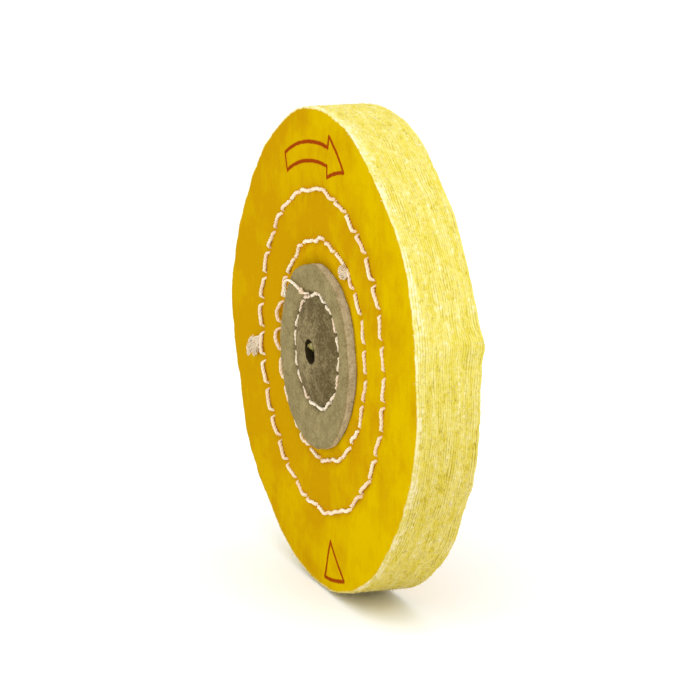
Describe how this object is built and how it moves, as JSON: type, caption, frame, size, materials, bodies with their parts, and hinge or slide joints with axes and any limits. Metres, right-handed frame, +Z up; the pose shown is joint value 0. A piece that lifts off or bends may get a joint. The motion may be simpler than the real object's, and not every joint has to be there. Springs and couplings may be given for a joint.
{
  "type": "stitched buffing wheel",
  "caption": "Round polishing wheel of treated cotton plies, sewn together in rings, with leather washers around a small spindle hole.",
  "frame": {"origin": "centre of the wheel, in the middle of the bore and of the stack's width", "axes": "Y is the wheel's own axis, -Y out of the printed front face; Z is up as the wheel stands on its rim"},
  "size_m": [0.0762, 0.014, 0.0762],
  "materials": {
    "treated_cotton": "matte",
    "split_leather": "matte",
    "waxed_thread": "matte"
  },
  "bodies": {
    "root": {"cloth_ply_01": "treated_cotton", "cloth_ply_02": "treated_cotton", "cloth_ply_03": "treated_cotton", "cloth_ply_04": "treated_cotton", "cloth_ply_05": "treated_cotton", "cloth_ply_06": "treated_cotton", "cloth_ply_07": "treated_cotton", "cloth_ply_08": "treated_cotton", "cloth_ply_09": "treated_cotton", "cloth_ply_10": "treated_cotton", "cloth_ply_11": "treated_cotton", "cloth_ply_12": "treated_cotton", "cloth_ply_13": "treated_cotton", "cloth_ply_14": "treated_cotton", "cloth_ply_15": "treated_cotton", "cloth_ply_16": "treated_cotton", "cloth_ply_17": "treated_cotton", "cloth_ply_18": "treated_cotton", "cloth_ply_19": "treated_cotton", "cloth_ply_20": "treated_cotton", "cloth_ply_21": "treated_cotton", "cloth_ply_22": "treated_cotton", "cloth_ply_23": "treated_cotton", "cloth_ply_24": "treated_cotton", "cloth_ply_25": "treated_cotton", "cloth_ply_26": "treated_cotton", "cloth_ply_27": "treated_cotton", "cloth_ply_28": "treated_cotton", "cloth_ply_29": "treated_cotton", "cloth_ply_30": "treated_cotton", "leather_washer_front": "split_leather", "leather_washer_back": "split_leather", "needle_thread_outer_row": "waxed_thread", "bobbin_thread_outer_row": "waxed_thread", "needle_thread_inner_row": "waxed_thread", "bobbin_thread_inner_row": "waxed_thread", "needle_thread_washer_row": "waxed_thread", "bobbin_thread_washer_row": "waxed_thread"}
  },
  "joints": []
}
